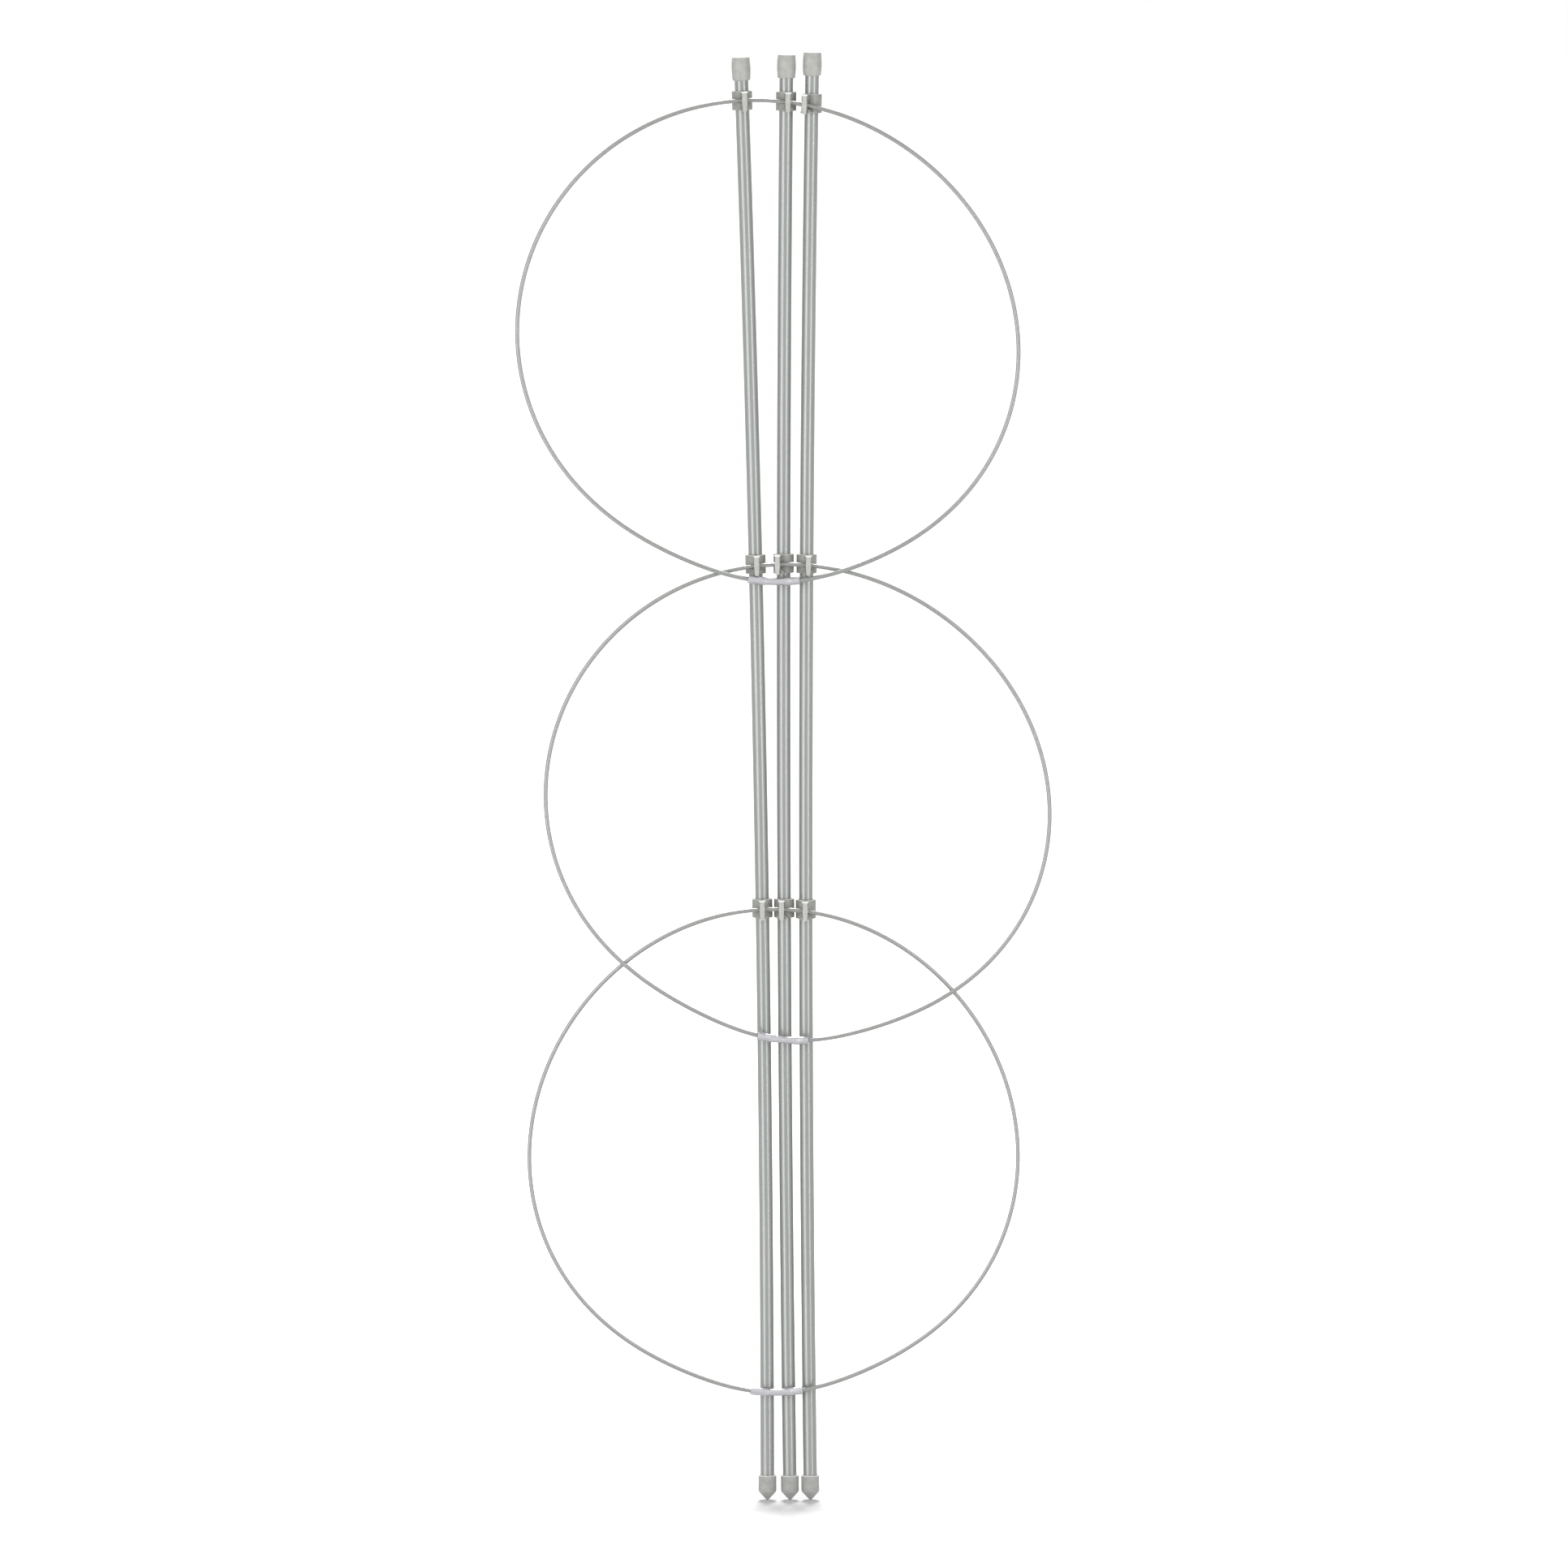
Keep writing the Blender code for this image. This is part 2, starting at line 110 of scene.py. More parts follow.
# Clips: sizes from the middle of the wire window, with the hook towards -Y, and each one's turn on
# its stake in degrees.
COLLAR_RADIUS = 6.3 * MM
COLLAR_TOP = 6.1 * MM
COLLAR_FOOT = -5.6 * MM
COLLAR_CHAMFER = 0.35 * MM
COLLAR_SIDES = 96
WEB_THICKNESS = 1.5 * MM
RIB_BACK = 10.6 * MM
RIB_FRONT = 12.4 * MM
RIB_FOOT = -6.3 * MM
RIB_EASE = 0.4 * MM
RIB_FOOT_WIDTH = 2.4 * MM
RIB_BELLY_WIDTH = 3.3 * MM
RIB_NECK_WIDTH = 2.6 * MM
RIB_CREST_WIDTH = 4.2 * MM
RIB_CREST_DROP = 1.3 * MM
WINDOW_HALF_HEIGHT = 2.4 * MM
WINDOW_CORNER = 0.7 * MM
SADDLE_WIDTH = 7.0 * MM
SADDLE_TOP_WIDTH = 3.0 * MM
SADDLE_TOP = -2.6 * MM
SADDLE_LIP = -4.8 * MM
SADDLE_FOOT = -5.6 * MM
SADDLE_FRONT = 9.6 * MM
HOOK_ROOT = 1.4 * MM
HOOK_OVERLAP = 0.3 * MM
CLIP_TURNS = {
    ("left", "top"): 7.9,
    ("middle", "top"): 5.3,
    ("right", "top"): -22.4,
    ("left", "middle"): 3.5,
    ("middle", "middle"): -19.0,
    ("right", "middle"): 5.3,
    ("left", "bottom"): 0.0,
    ("middle", "bottom"): -8.0,
    ("right", "bottom"): -2.0,
}

# Rings, hanging: centre along X, wire height at the middle stake, mean radius, oval pull and its
# direction, three-cornered pull, bulge at the stiff sleeve, the sleeve's place, forward lean. Turns
# run clockwise from the top, in degrees.
WIRE_OFFSET = 7.8 * MM
WIRE_END_GAP = 1.0 * MM
WIRE_SPANS = 720
WIRE_SIDES = 20
BULGE_SPREAD = 20.0
RINGS = {
    "top": {
        "centre_x": -13.8 * MM,
        "pivot_height": 870.3 * MM,
        "radius": 149.86 * MM,
        "oval": 5.47 * MM,
        "oval_turn": 110.0,
        "corner": 0.82 * MM,
        "bulge": 4.77 * MM,
        "sleeve_turn": 178.6,
        "lean": 0.60,
    },
    "middle": {
        "centre_x": 4.5 * MM,
        "pivot_height": 585.4 * MM,
        "radius": 150.13 * MM,
        "oval": 6.41 * MM,
        "oval_turn": 106.3,
        "corner": 1.23 * MM,
        "bulge": 6.06 * MM,
        "sleeve_turn": 183.5,
        "lean": 0.68,
    },
    "bottom": {
        "centre_x": -10.2 * MM,
        "pivot_height": 371.1 * MM,
        "radius": 149.82 * MM,
        "oval": 1.58 * MM,
        "oval_turn": 87.0,
        "corner": 1.71 * MM,
        "bulge": 5.75 * MM,
        "sleeve_turn": 179.3,
        "lean": 0.0,
    },
}

# Sleeves: each crimp presses the sleeve thinner one way and wider the other. The crimps' places and
# spread are shares of the sleeve's length.
SLEEVE_BORE = 1.6 * MM
SLEEVE_WAIST = 0.3 * MM
SLEEVE_LIP_LENGTH = 0.35 * MM
SLEEVE_LIP_DROP = 0.3 * MM
SLEEVE_SPANS = 160
SLEEVE_SIDES = 40
CRIMP_DEPTH = 0.35 * MM
CRIMP_SWELL = 0.25 * MM
CRIMP_PLACES = (0.24, 0.72)
CRIMP_SPREAD = 0.07

# Rounding and shading. A corner's round takes at most a share of the shorter side beside it, and
# the least tangent of half its angle keeps the round of a very sharp corner within bounds.
CORNER_STEPS = 4
CORNER_SHARE = 0.45
LEAST_TANGENT = 0.05
EDGE_STEPS = 3
EDGE_FULLNESS = 0.5
SHARP_ANGLE = radians(40)

# Searches along a ring, with turns in radians: how far from the top a stake can be, how often that
# arc is halved, how often a side clip's height is found again, and the step for a direction.
TOP_REACH = 0.5
HALVINGS = 50
CLIP_PASSES = 8
TANGENT_STEP = 0.004

# Plastics: typical roughness of each moulding, and how far the grain varies it.
CAP_ROUGHNESS = 0.5
TIP_ROUGHNESS = 0.55
CLIP_ROUGHNESS = 0.42
ROUGHNESS_SPREAD = 0.06

# Edges painted lighter, partly as wear from handling and partly as a painted highlight on the upper
# edges that face the overhead lamp: what each is measured along, where the lightening starts, where
# it is full, and how light it gets.
CREST_FOOT = RIB_FRONT + COLLAR_TOP - RIB_CREST_DROP
CAP_WEAR_AND_HIGHLIGHT = (("up", CAP_HEIGHT - 0.6 * MM, CAP_HEIGHT - 0.2 * MM, 0.5),)
TIP_WEAR_AND_HIGHLIGHT = (("up", TIP_RIM - 0.6 * MM, TIP_RIM - 0.4 * MM, 1.0),)
CLIP_WEAR_AND_HIGHLIGHT = (
    ("out", RIB_BACK + 0.4 * MM, RIB_BACK + 0.9 * MM, 0.36),
    ("up", COLLAR_TOP - 0.5 * MM, COLLAR_TOP - 0.2 * MM, 0.5),
    ("both", CREST_FOOT, CREST_FOOT + 0.4 * MM, 1.0),
)

# Patterns of the finishes, by the size of one line, grain, cloud or dent, and their depths.
STEEL_LINE = 1.1 * MM
TUBE_LINE_STRETCH = 60
WIRE_LINE_STRETCH = 1
FLAKE = 0.9 * MM
ORANGE_PEEL = 1.4 * MM
ORANGE_PEEL_DEPTH = 0.03 * MM
MELT_CLOUD = 4.5 * MM
# The patches that break up the painted highlight and the wear on the edges.
WEAR_AND_HIGHLIGHT_PATCH = 0.9 * MM
SPARK_GRAIN = 0.4 * MM
SPARK_DEPTH = 0.02 * MM
ALUMINIUM_LINE = 0.5 * MM
ALUMINIUM_LINE_STRETCH = 24
ALUMINIUM_LINE_DEPTH = 0.02 * MM
PRESS_DENT = 2.6 * MM
PRESS_DENT_DEPTH = 0.38 * MM

# Studio, in metres: the floor, the reach of the tips' shadow on it, the lamps and the camera. Only
# the camera's sensor is in millimetres.
FLOOR_COLOUR = "D8D8D8"
FLOOR_REACH = 20.0
FLOOR_DROP = 0.2 * MM
SHADOW_CORE = 0.02
SHADOW_EDGE = 0.07
HORIZON_START = 0.3
HORIZON_END = 0.9
SIDE_LAMP_TURN = radians(41)
SIDE_LAMP_REACH = 1.6
SIDE_LAMP_HEIGHT = 0.5
LEFT_LAMP_SIZE = (0.8, 2.4)
RIGHT_LAMP_SIZE = (0.35, 2.4)
TOP_LAMP_SIZE = (1.0, 1.0)
TOP_LAMP_PLACE = (0, 1.59, 3.41)
CAMERA_X = -3.8 * MM
SENSOR_WIDTH = 36


def linear(hex_colour):
    """The linear red, green and blue of an sRGB colour written as six hex digits."""
    shares = [int(hex_colour[start : start + 2], 16) / 255 for start in (0, 2, 4)]
    return [s / 12.92 if s <= 0.04045 else ((s + 0.055) / 1.055) ** 2.4 for s in shares]


def add_node(tree, kind, settings=None, links=None):
    """A shader node with its settings, by property, input name or input number, and its links."""
    node = tree.nodes.new(kind)
    for name, value in (settings or {}).items():
        if isinstance(name, int) or name in node.inputs:
            node.inputs[name].default_value = value
        else:
            setattr(node, name, value)
    for name, source in (links or {}).items():
        tree.links.new(source, node.inputs[name])
    return node


def new_material(name, colour, roughness, metallic=0.0, **sockets):
    """A Principled material, its node tree and its shader, ready for detail to be linked in."""
    material = bpy.data.materials.new(name)
    material.use_nodes = True
    tree = material.node_tree
    shader = tree.nodes["Principled BSDF"]
    shader.inputs["Base Color"].default_value = (*colour, 1)
    shader.inputs["Roughness"].default_value = roughness
    shader.inputs["Metallic"].default_value = metallic
    for socket, value in sockets.items():
        shader.inputs[socket.replace("_", " ")].default_value = value
    return material, tree, shader


def shaded(tint, factor):
    """A tint made lighter or darker by a factor, with full alpha."""
    return (*[channel * factor for channel in tint], 1)


def silver_powder_coat(name, tint, streak):
    """Silver-grey polyester powder coat with metallic flake, baked on drawn steel.

    The flake gives soft metallic bands from the lamps, the drawn steel under it faint lines along
    the length, and the baked powder a fine orange peel. The streak is how far a line is drawn out.
    """
    material, tree, shader = new_material(
        name, tint, roughness=0.31, metallic=0.45, Coat_Weight=0.12, Coat_Roughness=0.2
    )
    place = add_node(tree, "ShaderNodeTexCoord").outputs["Object"]
    # Real drawing lines are under 0.3 mm wide; they are drawn coarser, so that they show.
    along = add_node(tree, "ShaderNodeMapping", {"Scale": (1, 1, 1 / streak)}, {"Vector": place})
    drawn = add_node(
        tree,
        "ShaderNodeTexNoise",
        {"Scale": 1 / STEEL_LINE, "Detail": 2.0},
        {"Vector": along.outputs["Vector"]},
    )
    lines = add_node(
        tree,
        "ShaderNodeMapRange",
        {"From Min": 0.3, "From Max": 0.7},
        {"Value": drawn.outputs["Fac"]},
    )
    colour = add_node(
        tree,
        "ShaderNodeMix",
        {"data_type": "RGBA", 6: shaded(tint, 0.93), 7: shaded(tint, 1.06)},
        {0: lines.outputs["Result"]},
    )
    # Real flake is under 0.1 mm across; it is drawn coarser, because finer grain reads as specks.
    flake = add_node(
        tree, "ShaderNodeTexNoise", {"Scale": 1 / FLAKE, "Detail": 2.0}, {"Vector": place}
    )
    gloss = add_node(
        tree,
        "ShaderNodeMapRange",
        {"From Min": 0.25, "From Max": 0.75, "To Min": 0.27, "To Max": 0.36},
        {"Value": flake.outputs["Fac"]},
    )
    # Real orange peel is about 0.5 mm across; it is drawn coarser, so that it shows.
    peel = add_node(
        tree, "ShaderNodeTexNoise", {"Scale": 1 / ORANGE_PEEL, "Detail": 1.0}, {"Vector": place}
    )
    relief = add_node(
        tree,
        "ShaderNodeBump",
        {"Strength": 0.15, "Distance": ORANGE_PEEL_DEPTH},
        {"Height": peel.outputs["Fac"]},
    )
    tree.links.new(colour.outputs[2], shader.inputs["Base Color"])
    tree.links.new(gloss.outputs["Result"], shader.inputs["Roughness"])
    tree.links.new(relief.outputs["Normal"], shader.inputs["Normal"])
    return material


def edge_measure(tree, place, along):
    """How far a point is up its piece, out from the piece's axis, or both together."""
    if along == "up":
        return add_node(tree, "ShaderNodeSeparateXYZ", links={0: place}).outputs["Z"]
    flat = add_node(tree, "ShaderNodeMapping", {"Scale": (1, 1, 0)}, {"Vector": place})
    out = add_node(
        tree, "ShaderNodeVectorMath", {"operation": "LENGTH"}, {0: flat.outputs["Vector"]}
    ).outputs["Value"]
    if along == "out":
        return out
    up = edge_measure(tree, place, "up")
    return add_node(tree, "ShaderNodeMath", {"operation": "ADD"}, {0: up, 1: out}).outputs["Value"]


def moulded_polypropylene(name, tint, wear_and_highlight, roughness, edges):
    """Injection-moulded grey polypropylene from a spark-finished mould.

    The spark finish keeps it matt with a fine grain, and the flow of the melt clouds it slightly.
    Its edges are painted lighter, partly as wear from handling and partly as a painted highlight
    on the upper edges that face the overhead lamp. Each edge is what it is measured along, where
    the lightening starts, where it is full, and how light it gets.
    """
    material, tree, shader = new_material(name, tint, roughness, IOR=1.49)
    place = add_node(tree, "ShaderNodeTexCoord").outputs["Object"]
    melt = add_node(
        tree,
        "ShaderNodeTexNoise",
        {"Scale": 1 / MELT_CLOUD, "Detail": 4.0, "Roughness": 0.6},
        {"Vector": place},
    )
    clouds = add_node(
        tree,
        "ShaderNodeMapRange",
        {"From Min": 0.3, "From Max": 0.7},
        {"Value": melt.outputs["Fac"]},
    )
    colour = add_node(
        tree,
        "ShaderNodeMix",
        {"data_type": "RGBA", 6: shaded(tint, 0.88), 7: shaded(tint, 1.1)},
        {0: clouds.outputs["Result"]},
    )
    broken = add_node(
        tree, "ShaderNodeTexNoise", {"Scale": 1 / WEAR_AND_HIGHLIGHT_PATCH, "Detail": 3.0}, {"Vector": place}
    )
    patchy = add_node(
        tree,
        "ShaderNodeMapRange",
        {"From Min": 0.3, "From Max": 0.65, "To Min": 0.55, "To Max": 1.0},
        {"Value": broken.outputs["Fac"]},
    )
    # Painted highlight and wear: each edge mixes the colour towards the light edge tint, in
    # patches.
    for along, begin, full, share in edges:
        near = add_node(
            tree,
            "ShaderNodeMapRange",
            {"From Min": begin, "From Max": full, "To Max": share},
            {"Value": edge_measure(tree, place, along)},
        )
        wear_and_highlight_share = add_node(
            tree,
            "ShaderNodeMath",
            {"operation": "MULTIPLY"},
            {0: near.outputs["Result"], 1: patchy.outputs["Result"]},
        )
        colour = add_node(
            tree,
            "ShaderNodeMix",
            {"data_type": "RGBA", 7: shaded(wear_and_highlight, 1)},
            {0: wear_and_highlight_share.outputs["Value"], 6: colour.outputs[2]},
        )
    # A spark finish's grain is about 0.05 mm across; it is drawn coarser, so that it shows.
    grain = add_node(
        tree, "ShaderNodeTexNoise", {"Scale": 1 / SPARK_GRAIN, "Detail": 2.0}, {"Vector": place}
    )
    smooth, rough = roughness - ROUGHNESS_SPREAD, roughness + ROUGHNESS_SPREAD
    matt = add_node(
        tree,
        "ShaderNodeMapRange",
        {"From Min": 0.3, "From Max": 0.7, "To Min": smooth, "To Max": rough},
        {"Value": grain.outputs["Fac"]},
    )
    relief = add_node(
        tree,
        "ShaderNodeBump",
        {"Strength": 0.3, "Distance": SPARK_DEPTH},
        {"Height": grain.outputs["Fac"]},
    )
    tree.links.new(colour.outputs[2], shader.inputs["Base Color"])
    tree.links.new(matt.outputs["Result"], shader.inputs["Roughness"])
    tree.links.new(relief.outputs["Normal"], shader.inputs["Normal"])
    return material


def drawn_aluminium(name, tint):
    """Bright drawn aluminium tube, crimped in a press.

    Drawing leaves a satin shine with faint lines along the tube, and the press shallow dents and
    a few duller spots.
    """
    material, tree, shader = new_material(name, tint, roughness=0.38, metallic=1.0)
    place = add_node(tree, "ShaderNodeTexCoord").outputs["Object"]
    # Real drawing lines are about 0.1 mm wide; they are drawn coarser, so that they show.
    drawn_out = (1 / ALUMINIUM_LINE_STRETCH, 1, 1)
    along = add_node(tree, "ShaderNodeMapping", {"Scale": drawn_out}, {"Vector": place})
    drawn = add_node(
        tree,
        "ShaderNodeTexNoise",
        {"Scale": 1 / ALUMINIUM_LINE, "Detail": 2.0},
        {"Vector": along.outputs["Vector"]},
    )
    lines = add_node(
        tree,
        "ShaderNodeMapRange",
        {"From Min": 0.3, "From Max": 0.7},
        {"Value": drawn.outputs["Fac"]},
    )
    colour = add_node(
        tree,
        "ShaderNodeMix",
        {"data_type": "RGBA", 6: shaded(tint, 0.95), 7: shaded(tint, 1.04)},
        {0: lines.outputs["Result"]},
    )
    spots = add_node(
        tree, "ShaderNodeTexNoise", {"Scale": 1 / PRESS_DENT, "Detail": 3.0}, {"Vector": place}
    )
    gloss = add_node(
        tree,
        "ShaderNodeMapRange",
        {"From Min": 0.35, "From Max": 0.7, "To Min": 0.3, "To Max": 0.46},
        {"Value": spots.outputs["Fac"]},
    )
    relief = add_node(
        tree,
        "ShaderNodeBump",
        {"Strength": 0.25, "Distance": ALUMINIUM_LINE_DEPTH},
        {"Height": drawn.outputs["Fac"]},
    )
    dents = add_node(
        tree,
        "ShaderNodeBump",
        {"Strength": 0.6, "Distance": PRESS_DENT_DEPTH},
        {"Height": spots.outputs["Fac"], "Normal": relief.outputs["Normal"]},
    )
    tree.links.new(colour.outputs[2], shader.inputs["Base Color"])
    tree.links.new(gloss.outputs["Result"], shader.inputs["Roughness"])
    tree.links.new(dents.outputs["Normal"], shader.inputs["Normal"])
    return material


def stake_x(side, height):
    """Where a stake's centre line is along X at this height."""
    foot, head, bow = STAKE_LINES[side]
    share = height / SPRING_HEIGHT
    return foot + (head - foot) * share + 4 * bow * share * (1 - share)


def stake_matrix(side, height):
    """The place on a stake at this height, with Z along the stake."""
    foot, head, bow = STAKE_LINES[side]
    slope = (head - foot + 4 * bow * (1 - 2 * height / SPRING_HEIGHT)) / SPRING_HEIGHT
    moved = Matrix.Translation((stake_x(side, height), 0, height))
    return moved @ Matrix.Rotation(atan(slope), 4, "Y")


def ring_shape(level, turn):
    """Right and up from a ring's centre to its wire, in the ring's own plane."""
    ring = RINGS[level]
    past_sleeve = (turn - radians(ring["sleeve_turn"]) + pi) % (2 * pi) - pi
    reach = ring["radius"]
    reach += ring["oval"] * cos(2 * (turn - radians(ring["oval_turn"])))
    reach += ring["corner"] * cos(3 * turn)
    reach += ring["bulge"] * exp(-((past_sleeve / radians(BULGE_SPREAD)) ** 2))
    return reach * sin(turn), reach * cos(turn)


def turn_above(level, x):
    """The turn at which the top of a ring passes over this X, found by halving."""
    low, high = -TOP_REACH, TOP_REACH
    for _ in range(HALVINGS):
        middle = (low + high) / 2
        if RINGS[level]["centre_x"] + ring_shape(level, middle)[0] < x:
            low = middle
        else:
            high = middle
    return low


def ring_pivot(level):
    """The middle of the wire where it goes through the middle stake's clip."""
    height = RINGS[level]["pivot_height"]
    return Vector((stake_x("middle", height), -WIRE_OFFSET, height))


def ring_point(level, turn):
    """A point of a hanging ring's wire."""
    pivot = ring_pivot(level)
    lean = radians(RINGS[level]["lean"])
    right, up = ring_shape(level, turn)
    pivot_right, pivot_up = ring_shape(level, turn_above(level, pivot.x))
    rise = up - pivot_up
    return pivot + Vector((right - pivot_right, rise * sin(lean), rise * cos(lean)))


def clip_matrix(side, level):
    """A clip's place on its stake, its window midway between the wire's heights folded and open."""
    height = RINGS[level]["pivot_height"]
    for _ in range(CLIP_PASSES):
        height = ring_point(level, turn_above(level, stake_x(side, height))).z
    return stake_matrix(side, (height + RINGS[level]["pivot_height"]) / 2)


def mesh_from(name, build):
    """A smooth-shaded mesh filled by a function that takes a bmesh, with its faces turned out."""
    work = bmesh.new()
    build(work)
    bmesh.ops.recalc_face_normals(work, faces=work.faces)
    mesh = bpy.data.meshes.new(name)
    work.to_mesh(mesh)
    work.free()
    mesh.shade_smooth()
    mesh.set_sharp_from_angle(angle=SHARP_ANGLE)
    return mesh


def turned_profile(profile, sides):
    """Builds the solid that a closed outline of (radius, height) points sweeps round Z."""

    def build(work):
        turns = [2 * pi * step / sides for step in range(sides)]
        rows = []
        for radius, height in profile:
            if radius == 0:
                rows.append([work.verts.new((0, 0, height))])
            else:
                rows.append(
                    [work.verts.new((radius * cos(t), radius * sin(t), height)) for t in turns]
                )
        closed = all(radius > 0 for radius, _ in profile)
        pairs = list(zip(rows, rows[1:] + rows[:1])) if closed else list(zip(rows, rows[1:]))
        for upper, lower in pairs:
            for step in range(sides):
                after = (step + 1) % sides
                corners = [upper[step % len(upper)], upper[after % len(upper)]]
                corners += [lower[after % len(lower)], lower[step % len(lower)]]
                work.faces.new(list(dict.fromkeys(corners)))

    return build


def swept_rows(work, stations, sides):
    """Rows of vertices round each station of (centre, across, forward, radius at a turn)."""
    turns = [2 * pi * step / sides for step in range(sides)]
    return [
        [
            work.verts.new(centre + (across * cos(turn) + forward * sin(turn)) * radius(turn))
            for turn in turns
        ]
        for centre, across, forward, radius in stations
    ]


def stitched(work, rows, sides):
    """Faces between neighbouring rows of vertices."""
    for upper, lower in zip(rows, rows[1:]):
        for step in range(sides):
            after = (step + 1) % sides
            work.faces.new((upper[step], upper[after], lower[after], lower[step]))


def hollow_sweep(outer, inner, sides):
    """Builds a tube with a bore: outer stations one way, inner ones back, joined at both ends."""

    def build(work):
        rows = swept_rows(work, outer, sides) + swept_rows(work, inner[::-1], sides)
        stitched(work, rows + rows[:1], sides)

    return build


def solid_sweep(stations, sides):
    """Builds a solid bar along its stations, with flat ends."""

    def build(work):
        rows = swept_rows(work, stations, sides)
        stitched(work, rows, sides)
        work.faces.new(rows[0])
        work.faces.new(rows[-1])

    return build


def rounded(outline, radius):
    """A closed outline of pairs whose corners are rounded by this radius."""
    points = []
    for index, corner in enumerate(outline):
        before = Vector(outline[index - 1])
        here = Vector(corner)
        after = Vector(outline[(index + 1) % len(outline)])
        back, ahead = (before - here).normalized(), (after - here).normalized()
        half = back.angle(ahead) / 2
        tangent = max(abs(sin(half) / cos(half)), LEAST_TANGENT)
        shorter = min((before - here).length, (after - here).length)
        reach = min(radius / tangent, shorter * CORNER_SHARE)
        for step in range(CORNER_STEPS + 1):
            share = step / CORNER_STEPS
            start = here + back * reach * (1 - share)
            end = here + ahead * reach * share
            points.append(tuple(start.lerp(end, share)))
    return points


def outline_solid(outline, axis, low, high, edge=0.0):
    """Builds a prism: a closed outline of pairs across an axis, from low to high, edges rounded."""

    def build(work):
        bottom, top = [], []
        for pair in outline:
            for row, along in ((bottom, low), (top, high)):
                values = list(pair)
                values.insert("XYZ".index(axis), along)
                row.append(work.verts.new(values))
        work.faces.new(bottom)
        work.faces.new(top)
        stitched(work, [bottom, top], len(outline))
        if edge:
            bmesh.ops.recalc_face_normals(work, faces=work.faces)
            corners = [*work.verts, *work.edges]
            bmesh.ops.bevel(
                work,
                geom=corners,
                offset=edge,
                segments=EDGE_STEPS,
                profile=EDGE_FULLNESS,
                clamp_overlap=True,
                affect="EDGES",
            )

    return build


def show(name, mesh, material, node, matrix=None):
    """Puts a finer piece in place of a solid of the frame, riding on the solid's own body."""
    piece = bpy.data.objects.new(name, mesh)
    bpy.context.scene.collection.objects.link(piece)
    if not mesh.materials:
        mesh.materials.append(material)
    piece.matrix_world = matrix or Matrix.Identity(4)
    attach(piece, frame["nodes"][node]["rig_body"])
    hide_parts(node)
    return piece


def arc(centre_x, centre_y, radius, start, end, steps):
    """Points of an arc, angles in degrees."""
    turns = [radians(start + (end - start) * step / steps) for step in range(steps + 1)]
    return [(centre_x + radius * cos(turn), centre_y + radius * sin(turn)) for turn in turns]


def cap_profile(tube_radius, edge):
    """The barrel outline of a top cap with a rounded crown, and the blind bore for the tube."""
    points = [(0, CAP_HEIGHT)]
    points += arc(CAP_TOP_RADIUS - edge, CAP_HEIGHT - edge, edge, 90, 0, CAP_CROWN_STEPS)
    mouth_round = CAP_MOUTH_ROUND * edge
    for row in range(1, CAP_ROWS + 1):
        share = row / CAP_ROWS
        height = (CAP_HEIGHT - edge) * (1 - share)
        straight = CAP_TOP_RADIUS + (CAP_MOUTH_RADIUS - CAP_TOP_RADIUS) * share
        swell = CAP_BELLY_RADIUS - (CAP_TOP_RADIUS + CAP_MOUTH_RADIUS) / 2
        radius = straight + 4 * swell * share * (1 - share)
        if height > mouth_round:
            points.append((radius, height))
    inset = CAP_MOUTH_RADIUS - mouth_round
    points += arc(inset, mouth_round, mouth_round, 0, -90, CAP_MOUTH_STEPS)
    bore = tube_radius + SEAT_GAP
    points += [(bore + CAP_MOUTH_EASE, 0), (bore, CAP_MOUTH_EASE)]
    return points + [(bore, CAP_BORE_DEPTH), (0, CAP_BORE_DEPTH)]


def tip_profile(tube_radius, shoulder_round):
    """A pointed foot: bore, rounded rim, straight side, rounded shoulder, cone and blunt end."""
    bore = tube_radius + SEAT_GAP
    rim = (TIP_RADIUS - bore) / 2
    points = [(0, TIP_BORE_FLOOR), (bore, TIP_BORE_FLOOR)]
    points += arc(bore + rim, TIP_RIM - rim, rim, 180, 0, TIP_RIM_STEPS)
    # The shoulder's round and the blunt end's both touch the cone's straight side, at one turn.
    rise = TIP_SHOULDER - TIP_BLUNT_RADIUS
    touch = atan2(rise, TIP_RADIUS) - acos(TIP_BLUNT_RADIUS / hypot(TIP_RADIUS, rise))
    inset = TIP_RADIUS - shoulder_round
    above_blunt = (TIP_BLUNT_RADIUS - shoulder_round - inset * cos(touch)) / sin(touch)
    centre = (inset, TIP_BLUNT_RADIUS + above_blunt)
    points += arc(*centre, shoulder_round, 0, degrees(touch), TIP_SHOULDER_STEPS)
    blunt = arc(0, TIP_BLUNT_RADIUS, TIP_BLUNT_RADIUS, degrees(touch), -90, TIP_BLUNT_STEPS)
    return points + blunt[:-1] + [(0, 0)]


def collar_profile(tube_radius, edge):
    """The closed section of a clip's collar, with its mouth eased and its edges rounded."""
    bore, ease = tube_radius + SEAT_GAP, COLLAR_CHAMFER
    mouth = [(bore, COLLAR_FOOT), (bore, COLLAR_TOP - ease), (bore + ease, COLLAR_TOP)]
    return rounded([*mouth, (COLLAR_RADIUS, COLLAR_TOP), (COLLAR_RADIUS, COLLAR_FOOT)], edge)


def mirrored(right):
    """An outline closed by the mirror image of its right-hand points."""
    return right + [(-x, along) for x, along in reversed(right)]


def hook_rib_outline():
    """The front view of the hook's rib, in X and Z: a wide crest on a bar, fullest at the wire."""
    right = [(RIB_FOOT_WIDTH / 2 - RIB_EASE, RIB_FOOT), (RIB_FOOT_WIDTH / 2, RIB_FOOT + RIB_EASE)]
    right += [(RIB_BELLY_WIDTH / 2, 0), (RIB_NECK_WIDTH / 2, COLLAR_TOP - RIB_CREST_DROP)]
    right += [(RIB_CREST_WIDTH / 2, COLLAR_TOP - RIB_EASE), (RIB_CREST_WIDTH / 2, COLLAR_TOP)]
    return mirrored(right)


